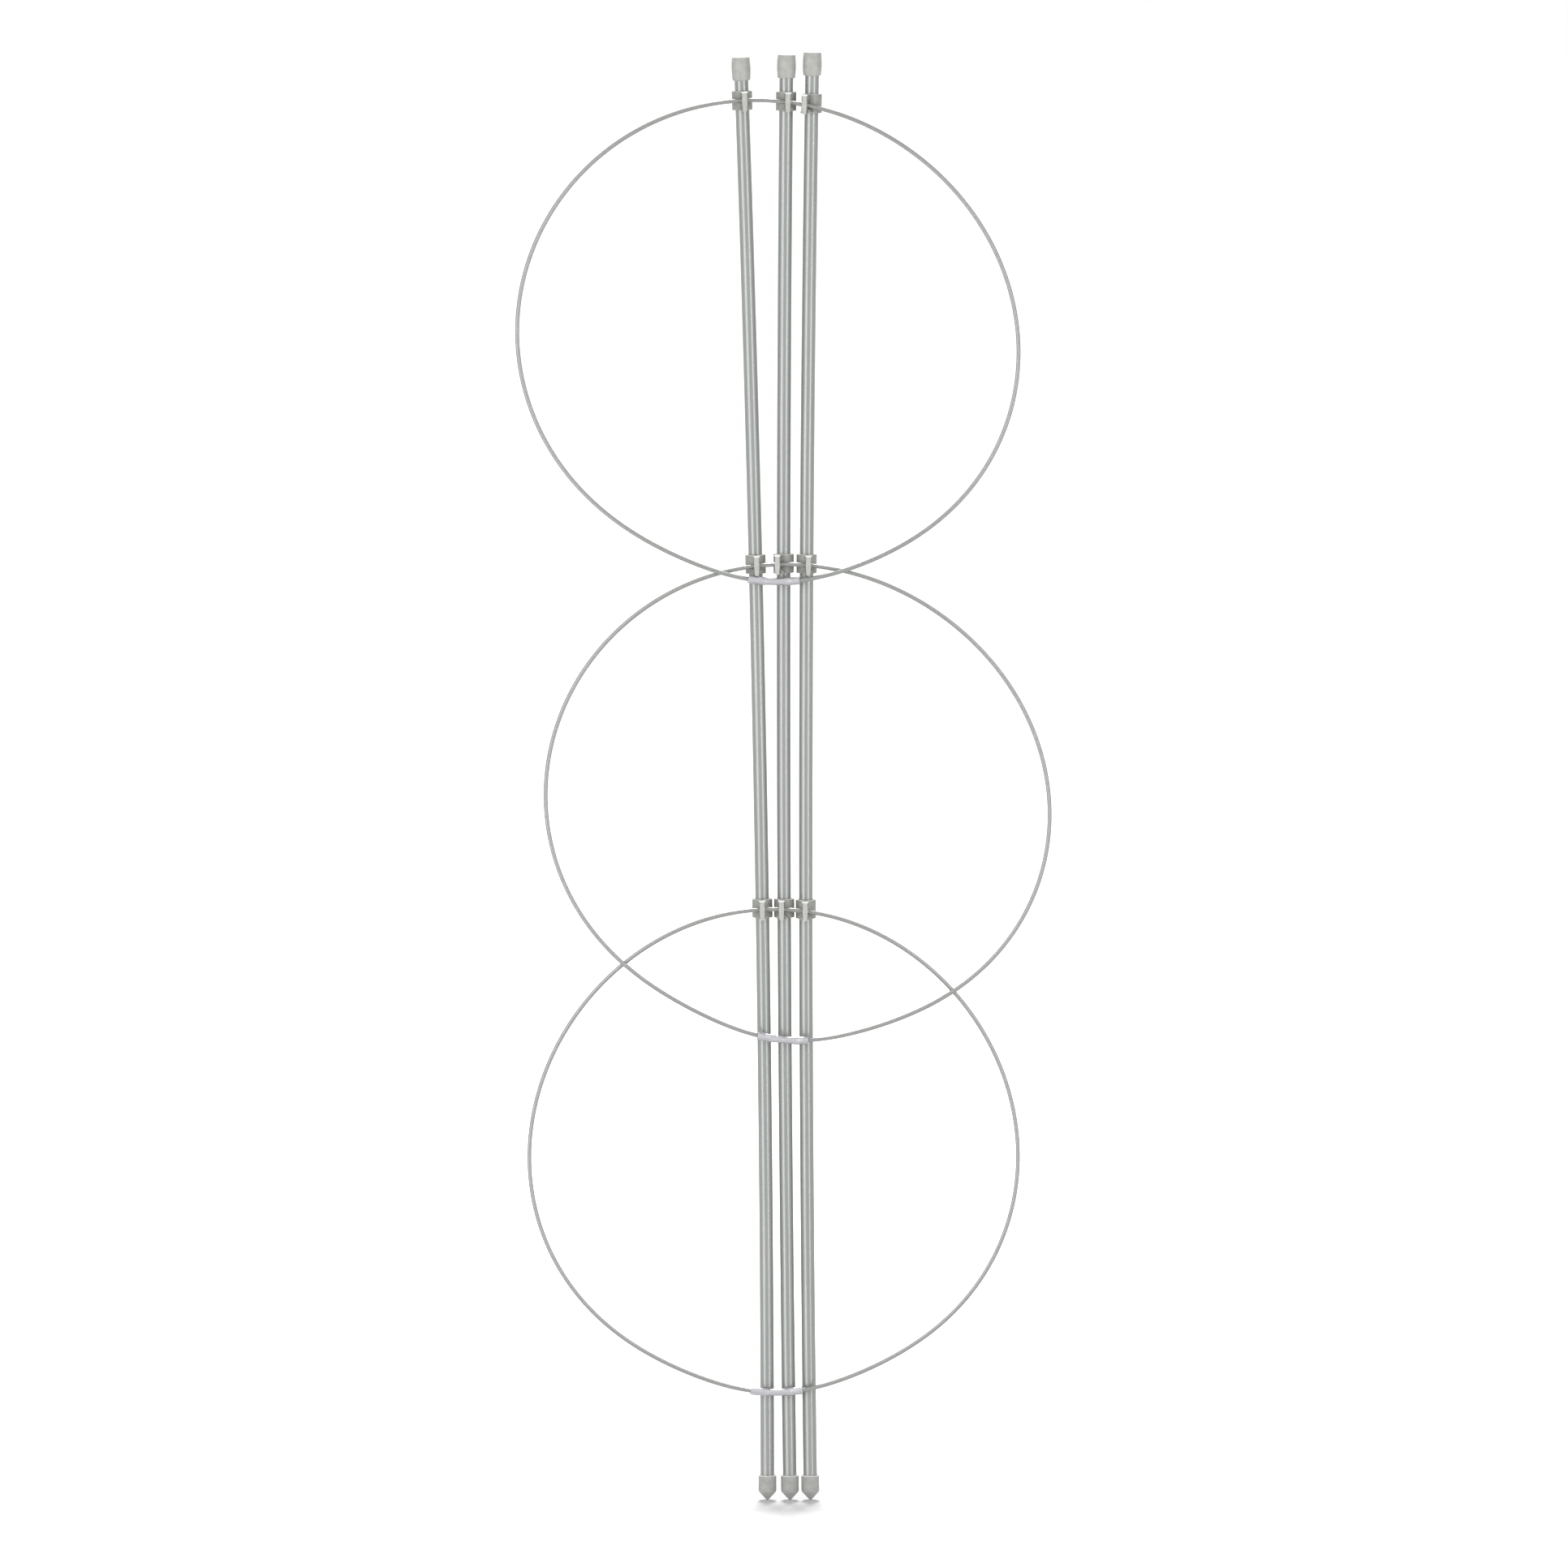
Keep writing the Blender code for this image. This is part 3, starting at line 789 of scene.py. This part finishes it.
def hook_web_outline():
    """The side view of the hook's web, in Y and Z, sloping up from the rib to the collar."""
    root, face = -(COLLAR_RADIUS - HOOK_ROOT), -(RIB_BACK + HOOK_OVERLAP)
    return [(root, COLLAR_TOP), (face, COLLAR_TOP), (face, RIB_FOOT), (root, COLLAR_FOOT)]


def saddle_outline():
    """The front view of the pad under the wire, in X and Z, sloping down to each side."""
    wide, narrow = SADDLE_WIDTH / 2, SADDLE_TOP_WIDTH / 2
    return mirrored([(wide, SADDLE_FOOT), (wide, SADDLE_LIP), (narrow, SADDLE_TOP)])


def window_outline():
    """The window that the wire goes through, in Y and Z, with rounded corners."""
    back, front = -COLLAR_RADIUS, -RIB_BACK
    half = WINDOW_HALF_HEIGHT
    return rounded([(front, -half), (back, -half), (back, half), (front, half)], WINDOW_CORNER)


def clip_mesh(tube_radius, edge):
    """One clip with its hook towards -Y; its edges are rounded as a mould leaves them."""
    web, root = WEB_THICKNESS / 2, -(COLLAR_RADIUS - HOOK_ROOT)
    shapes = (
        ("UNION", outline_solid(hook_web_outline(), "X", -web, web, edge)),
        ("UNION", outline_solid(hook_rib_outline(), "Y", -RIB_FRONT, -RIB_BACK, edge)),
        ("UNION", outline_solid(saddle_outline(), "Y", -SADDLE_FRONT, root, edge)),
        ("DIFFERENCE", outline_solid(window_outline(), "X", -COLLAR_RADIUS, COLLAR_RADIUS)),
    )
    form = turned_profile(collar_profile(tube_radius, edge), COLLAR_SIDES)
    collar = bpy.data.objects.new("clip_form", mesh_from("clip_form", form))
    helpers = [collar]
    bpy.context.scene.collection.objects.link(collar)
    for index, (operation, build) in enumerate(shapes):
        helper = bpy.data.objects.new(f"clip_helper_{index}", mesh_from("clip_helper", build))
        helpers.append(helper)
        cut = collar.modifiers.new(helper.name, "BOOLEAN")
        cut.operation = operation
        cut.object = helper
        cut.solver = "EXACT"
    bpy.context.view_layer.update()
    graph = bpy.context.evaluated_depsgraph_get()
    mesh = bpy.data.meshes.new_from_object(collar.evaluated_get(graph))
    for helper in helpers:
        bpy.data.objects.remove(helper, do_unlink=True)
    mesh.name = "hook_clip"
    mesh.materials.clear()
    mesh.shade_smooth()
    mesh.set_sharp_from_angle(angle=SHARP_ANGLE)
    return mesh


def even(radius):
    """The same radius all along a sweep and all round it."""
    return lambda share: lambda turn: radius


def ring_stations(level, spans, start, sweep, radius):
    """Stations along a ring's wire from its pivot, each with its cross directions."""
    pivot = ring_pivot(level)
    stations = []
    for span in range(spans + 1):
        turn = start + sweep * span / spans
        centre = ring_point(level, turn)
        before = ring_point(level, turn - TANGENT_STEP)
        after = ring_point(level, turn + TANGENT_STEP)
        tangent = (after - before).normalized()
        forward = Vector((0, 1, 0))
        forward = (forward - tangent * forward.dot(tangent)).normalized()
        stations.append((centre - pivot, forward.cross(tangent), forward, radius(span / spans)))
    return stations


class SupportSizes(bpy.types.PropertyGroup):
    """Sizes that a maker would change."""

    tube_radius: bpy.props.FloatProperty(
        name="Tube radius",
        description="Outer radius of the coated tube",
        default=4.3 * MM,
        unit="LENGTH",
    )
    wire_radius: bpy.props.FloatProperty(
        name="Wire radius",
        description="Radius of the coated ring wire",
        default=1.3 * MM,
        unit="LENGTH",
    )
    sleeve_length: bpy.props.FloatProperty(
        name="Sleeve length",
        description="Length of the crimped sleeve on each ring",
        default=32.0 * MM,
        unit="LENGTH",
    )
    sleeve_radius: bpy.props.FloatProperty(
        name="Sleeve radius",
        description="Outer radius of the crimped sleeve",
        default=2.5 * MM,
        unit="LENGTH",
    )
    cap_edge: bpy.props.FloatProperty(
        name="Cap edge",
        description="Rounding of a cap's crown",
        default=0.45 * MM,
        unit="LENGTH",
    )
    shoulder_round: bpy.props.FloatProperty(
        name="Tip shoulder",
        description="Rounding between a tip's side and its cone",
        default=2.6 * MM,
        unit="LENGTH",
    )
    clip_edge: bpy.props.FloatProperty(
        name="Clip edge",
        description="Rounding of a clip's moulded edges",
        default=0.18 * MM,
        unit="LENGTH",
    )


class SupportFinishes(bpy.types.PropertyGroup):
    """Colours of the finishes."""

    stake_tint: bpy.props.FloatVectorProperty(
        name="Stake coat",
        description="Colour of the silver-grey coat on the tubes",
        subtype="COLOR",
        default=linear("999C99"),
    )
    wire_tint: bpy.props.FloatVectorProperty(
        name="Wire coat",
        description="Colour of the coat on the ring wire",
        subtype="COLOR",
        default=linear("999B98"),
    )
    clip_tint: bpy.props.FloatVectorProperty(
        name="Clip plastic",
        description="Colour of the moulded clips",
        subtype="COLOR",
        default=linear("9D9E98"),
    )
    cap_tint: bpy.props.FloatVectorProperty(
        name="Cap plastic",
        description="Colour of the moulded caps",
        subtype="COLOR",
        default=linear("B1B2AD"),
    )
    # Painted shade: the tips are the caps' grey plastic, darkened to stand in for the dimmer light
    # at the feet.
    tip_painted_shade_tint: bpy.props.FloatVectorProperty(
        name="Tip plastic",
        description="Colour of the moulded tips",
        subtype="COLOR",
        default=linear("A6A7A3"),
    )
    # The light tint of the edges: a painted highlight where they face the overhead lamp, with wear
    # from handling.
    wear_and_highlight_tint: bpy.props.FloatVectorProperty(
        name="Rubbed plastic",
        description="Colour of edges that handling has rubbed light",
        subtype="COLOR",
        default=linear("F2F3EF"),
    )
    sleeve_tint: bpy.props.FloatVectorProperty(
        name="Sleeve metal",
        description="Colour of the bright aluminium sleeves",
        subtype="COLOR",
        default=linear("BFBEC2"),
    )


class StudioSettings(bpy.types.PropertyGroup):
    """Camera and lamps."""

    camera_height: bpy.props.FloatProperty(
        name="Camera height",
        description="Height of the lens above the floor",
        default=1.200,
        unit="LENGTH",
    )
    camera_distance: bpy.props.FloatProperty(
        name="Camera distance",
        description="Distance from the lens to the stakes",
        default=7.00,
        unit="LENGTH",
    )
    camera_pitch: bpy.props.FloatProperty(
        name="Camera pitch",
        description="How far the camera looks down",
        default=radians(6.1288),
        unit="ROTATION",
    )
    lens: bpy.props.FloatProperty(
        name="Lens", description="Focal length on a 36 mm sensor", default=261.3, unit="CAMERA"
    )
    left_lamp: bpy.props.FloatProperty(
        name="Left softbox", description="Power of the wide softbox", default=18.0, unit="POWER"
    )
    right_lamp: bpy.props.FloatProperty(
        name="Right softbox", description="Power of the narrow softbox", default=13.0, unit="POWER"
    )
    top_lamp: bpy.props.FloatProperty(
        name="Top softbox", description="Power of the softbox overhead", default=143.0, unit="POWER"
    )
    fill: bpy.props.FloatProperty(
        name="Fill", description="Light that the white surroundings give", default=0.43
    )


class SUPPORT_OT_stakes(bpy.types.Operator):
    """Puts fine bowed tubes in place of the stakes"""

    bl_idname = "support.stakes"
    bl_label = "Stakes"

    def execute(self, context):
        sizes, finishes = context.scene.support_sizes, context.scene.support_finishes
        coat = silver_powder_coat(
            "silver_powder_coated_steel", finishes.stake_tint, TUBE_LINE_STRETCH
        )
        for side in STAKE_LINES:
            outer, inner = [], []
            for span in range(TUBE_SPANS + 1):
                height = TUBE_FOOT + (TUBE_HEAD - TUBE_FOOT) * span / TUBE_SPANS
                place = stake_matrix(side, height)
                line = (place.translation, place.col[0].xyz, place.col[1].xyz)
                outer.append((*line, lambda turn: sizes.tube_radius))
                inner.append((*line, lambda turn: sizes.tube_radius - TUBE_WALL))
            mesh = mesh_from(f"{side}_tube", hollow_sweep(outer, inner, TUBE_SIDES))
            show(f"{side}_tube", mesh, coat, f"{side}_stake")
        return {"FINISHED"}


class SUPPORT_OT_caps(bpy.types.Operator):
    """Puts rounded barrel caps in place of the caps"""

    bl_idname = "support.caps"
    bl_label = "Caps"

    def execute(self, context):
        sizes, finishes = context.scene.support_sizes, context.scene.support_finishes
        plastic = moulded_polypropylene(
            "moulded_polypropylene_cap",
            finishes.cap_tint,
            finishes.wear_and_highlight_tint,
            CAP_ROUGHNESS,
            CAP_WEAR_AND_HIGHLIGHT,
        )
        profile = cap_profile(sizes.tube_radius, sizes.cap_edge)
        mesh = mesh_from("barrel_cap", turned_profile(profile, TURNED_SIDES))
        for side in STAKE_LINES:
            place = stake_matrix(side, CAP_LOW_EDGE[side])
            cap = show(f"{side}_barrel_cap", mesh, plastic, f"{side}_cap", place)
        return {"FINISHED"}


class SUPPORT_OT_tips(bpy.types.Operator):
    """Puts rounded pointed feet in place of the tips"""

    bl_idname = "support.tips"
    bl_label = "Tips"

    def execute(self, context):
        sizes, finishes = context.scene.support_sizes, context.scene.support_finishes
        plastic = moulded_polypropylene(
            "moulded_polypropylene_tip",
            finishes.tip_painted_shade_tint,
            finishes.wear_and_highlight_tint,
            TIP_ROUGHNESS,
            TIP_WEAR_AND_HIGHLIGHT,
        )
        profile = tip_profile(sizes.tube_radius, sizes.shoulder_round)
        mesh = mesh_from("pointed_tip", turned_profile(profile, TURNED_SIDES))
        for side in STAKE_LINES:
            tip = show(f"{side}_pointed_tip", mesh, plastic, f"{side}_tip", stake_matrix(side, 0))
        return {"FINISHED"}


class SUPPORT_OT_clips(bpy.types.Operator):
    """Puts clips with rounded moulded edges in place of the clips"""

    bl_idname = "support.clips"
    bl_label = "Clips"

    def execute(self, context):
        sizes, finishes = context.scene.support_sizes, context.scene.support_finishes
        plastic = moulded_polypropylene(
            "moulded_polypropylene_clip",
            finishes.clip_tint,
            finishes.wear_and_highlight_tint,
            CLIP_ROUGHNESS,
            CLIP_WEAR_AND_HIGHLIGHT,
        )
        straight = clip_mesh(sizes.tube_radius, sizes.clip_edge)
        for (side, level), turn in CLIP_TURNS.items():
            mesh = straight.copy()
            mesh.transform(Matrix.Rotation(radians(turn), 4, "Z"))
            name, place = f"{side}_{level}_hook_clip", clip_matrix(side, level)
            show(name, mesh, plastic, f"{side}_{level}_clip", place)
        return {"FINISHED"}


class SUPPORT_OT_rings(bpy.types.Operator):
    """Puts smooth sprung wires in place of the rings"""

    bl_idname = "support.rings"
    bl_label = "Rings"

    def execute(self, context):
        sizes, finishes = context.scene.support_sizes, context.scene.support_finishes
        coat = silver_powder_coat(
            "silver_powder_coated_wire", finishes.wire_tint, WIRE_LINE_STRETCH
        )
        bar = even(sizes.wire_radius)
        for level, ring in RINGS.items():
            gap = WIRE_END_GAP / ring["radius"]
            start = radians(ring["sleeve_turn"]) + gap / 2
            stations = ring_stations(level, WIRE_SPANS, start, 2 * pi - gap, bar)
            mesh = mesh_from(f"{level}_wire", solid_sweep(stations, WIRE_SIDES))
            place = Matrix.Translation(ring_pivot(level))
            show(f"{level}_wire", mesh, coat, f"{level}_ring", place)
        return {"FINISHED"}


class SUPPORT_OT_sleeves(bpy.types.Operator):
    """Puts crimped metal sleeves in place of the sleeves"""

    bl_idname = "support.sleeves"
    bl_label = "Sleeves"

    def execute(self, context):
        sizes, finishes = context.scene.support_sizes, context.scene.support_finishes
        metal = drawn_aluminium("bright_drawn_aluminium", finishes.sleeve_tint)
        lip = SLEEVE_LIP_LENGTH / sizes.sleeve_length

        def outer_radius(share):
            pinch = sum(exp(-(((share - spot) / CRIMP_SPREAD) ** 2)) for spot in CRIMP_PLACES)
            waist = SLEEVE_WAIST * sin(pi * share) ** 2
            inset = max(0.0, 1 - min(share, 1 - share) / lip)
            turned_in = SLEEVE_LIP_DROP * (1 - (1 - inset**2) ** 0.5)
            straight = sizes.sleeve_radius - waist - turned_in
            return lambda turn: straight + pinch * (
                CRIMP_SWELL * cos(turn) ** 2 - CRIMP_DEPTH * sin(turn) ** 2
            )

        for level, ring in RINGS.items():
            reach = sizes.sleeve_length / ring["radius"]
            start = radians(ring["sleeve_turn"]) - reach / 2
            outer = ring_stations(level, SLEEVE_SPANS, start, reach, outer_radius)
            inner = ring_stations(level, SLEEVE_SPANS, start, reach, even(SLEEVE_BORE))
            mesh = mesh_from(f"{level}_crimped_sleeve", hollow_sweep(outer, inner, SLEEVE_SIDES))
            place = Matrix.Translation(ring_pivot(level))
            sleeve = show(f"{level}_crimped_sleeve", mesh, metal, f"{level}_sleeve", place)
        return {"FINISHED"}


def softbox(name, size, power, location, target):
    """A rectangular area lamp that faces a point and isn't itself in the picture."""
    lamp = bpy.data.lights.new(name, "AREA")
    lamp.shape = "RECTANGLE"
    lamp.size, lamp.size_y = size
    lamp.energy = power
    holder = bpy.data.objects.new(name, lamp)
    bpy.context.scene.collection.objects.link(holder)
    holder.location = location
    aim = Vector(target) - Vector(location)
    holder.rotation_euler = aim.to_track_quat("-Z", "Y").to_euler()
    holder.visible_camera = False


def studio_floor():
    """A matt floor that the camera sees white, apart from the shadows at the tips.

    A glow that only the camera sees lifts the lit paper to white. It is weakest under the folded
    stakes, where the shadow is deep, and grows towards the horizon, which the lamps don't reach.
    """
    work = bmesh.new()
    bmesh.ops.create_grid(work, x_segments=1, y_segments=1, size=FLOOR_REACH)
    mesh = bpy.data.meshes.new("studio_floor")
    work.to_mesh(mesh)
    work.free()
    floor = bpy.data.objects.new("studio_floor", mesh)
    bpy.context.scene.collection.objects.link(floor)
    floor.location.z = -FLOOR_DROP
    material, tree, shader = new_material(
        "matt_white_paper_floor", linear(FLOOR_COLOUR), roughness=0.9, Specular_IOR_Level=0.0
    )
    seen = add_node(tree, "ShaderNodeLightPath").outputs["Is Camera Ray"]
    place = add_node(tree, "ShaderNodeTexCoord").outputs["Object"]
    away = add_node(tree, "ShaderNodeVectorMath", {"operation": "LENGTH"}, {0: place})
    glow = add_node(
        tree,
        "ShaderNodeMapRange",
        {
            "interpolation_type": "SMOOTHSTEP",
            "From Min": SHADOW_CORE,
            "From Max": SHADOW_EDGE,
            "To Min": 0.05,
            "To Max": 0.34,
        },
        {"Value": away.outputs["Value"]},
    )
    horizon = add_node(
        tree,
        "ShaderNodeMapRange",
        {
            "interpolation_type": "SMOOTHSTEP",
            "From Min": HORIZON_START,
            "From Max": HORIZON_END,
        },
        {"Value": away.outputs["Value"], "To Min": glow.outputs["Result"]},
    )
    strength = add_node(
        tree, "ShaderNodeMath", {"operation": "MULTIPLY"}, {0: horizon.outputs["Result"], 1: seen}
    )
    shader.inputs["Emission Color"].default_value = (1, 1, 1, 1)
    tree.links.new(strength.outputs["Value"], shader.inputs["Emission Strength"])
    mesh.materials.append(material)
    floor.visible_glossy = False


def studio_world(fill):
    """White surroundings, seen white and reflected white, that give a soft fill light."""
    world = bpy.data.worlds.new("white_studio")
    bpy.context.scene.world = world
    world.use_nodes = True
    tree = world.node_tree
    background = tree.nodes["Background"]
    background.inputs["Color"].default_value = (1, 1, 1, 1)
    path = add_node(tree, "ShaderNodeLightPath")
    shown = add_node(
        tree,
        "ShaderNodeMath",
        {"operation": "MAXIMUM"},
        {0: path.outputs["Is Camera Ray"], 1: path.outputs["Is Glossy Ray"]},
    )
    strength = add_node(
        tree, "ShaderNodeMapRange", {"To Min": fill}, {"Value": shown.outputs["Value"]}
    )
    tree.links.new(strength.outputs["Result"], background.inputs["Strength"])


class SUPPORT_OT_stage(bpy.types.Operator):
    """Builds the white studio: floor, surroundings, softboxes and camera"""

    bl_idname = "support.stage"
    bl_label = "Stage"

    def execute(self, context):
        scene, studio = context.scene, context.scene.support_studio
        scene.view_settings.view_transform = "Standard"
        studio_floor()
        studio_world(studio.fill)
        across = SIDE_LAMP_REACH * sin(SIDE_LAMP_TURN)
        front = -SIDE_LAMP_REACH * cos(SIDE_LAMP_TURN)
        lamps = (
            ("left_softbox", LEFT_LAMP_SIZE, studio.left_lamp, -across),
            ("right_softbox", RIGHT_LAMP_SIZE, studio.right_lamp, across),
        )
        for name, size, power, x in lamps:
            softbox(name, size, power, (x, front, SIDE_LAMP_HEIGHT), (0, 0, SIDE_LAMP_HEIGHT))
        softbox("top_softbox", TOP_LAMP_SIZE, studio.top_lamp, TOP_LAMP_PLACE, (0, 0, 0))
        camera = bpy.data.objects.new("photo_camera", bpy.data.cameras.new("photo_camera"))
        scene.collection.objects.link(camera)
        camera.location = (CAMERA_X, -studio.camera_distance, studio.camera_height)
        camera.rotation_euler = (pi / 2 - studio.camera_pitch, 0, 0)
        camera.data.sensor_width = SENSOR_WIDTH
        camera.data.lens = studio.lens
        scene.camera = camera
        return {"FINISHED"}


class SUPPORT_PT_panel(bpy.types.Panel):
    """Lists the settings and the steps in the sidebar"""

    bl_idname = "SUPPORT_PT_panel"
    bl_label = "Plant support"
    bl_space_type = "VIEW_3D"
    bl_region_type = "UI"
    bl_category = "Plant support"

    def draw(self, context):
        for group in ("support_sizes", "support_finishes", "support_studio"):
            settings = getattr(context.scene, group)
            box = self.layout.box()
            for name in settings.__annotations__:
                box.prop(settings, name)
        for step in STEPS:
            self.layout.operator(step.bl_idname)


STEPS = (
    SUPPORT_OT_stakes,
    SUPPORT_OT_caps,
    SUPPORT_OT_tips,
    SUPPORT_OT_clips,
    SUPPORT_OT_rings,
    SUPPORT_OT_sleeves,
    SUPPORT_OT_stage,
)
GROUPS = {
    "support_sizes": SupportSizes,
    "support_finishes": SupportFinishes,
    "support_studio": StudioSettings,
}


def register():
    for group in GROUPS.values():
        bpy.utils.register_class(group)
    for name, group in GROUPS.items():
        setattr(bpy.types.Scene, name, bpy.props.PointerProperty(type=group))
    for part in (*STEPS, SUPPORT_PT_panel):
        bpy.utils.register_class(part)


def unregister():
    for part in (SUPPORT_PT_panel, *reversed(STEPS)):
        bpy.utils.unregister_class(part)
    for name, group in GROUPS.items():
        delattr(bpy.types.Scene, name)
        bpy.utils.unregister_class(group)


def main():
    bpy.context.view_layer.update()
    register()
    bpy.ops.support.stakes()
    bpy.ops.support.caps()
    bpy.ops.support.tips()
    bpy.ops.support.clips()
    bpy.ops.support.rings()
    bpy.ops.support.sleeves()
    bpy.ops.support.stage()


if __name__ == "__main__":
    main()
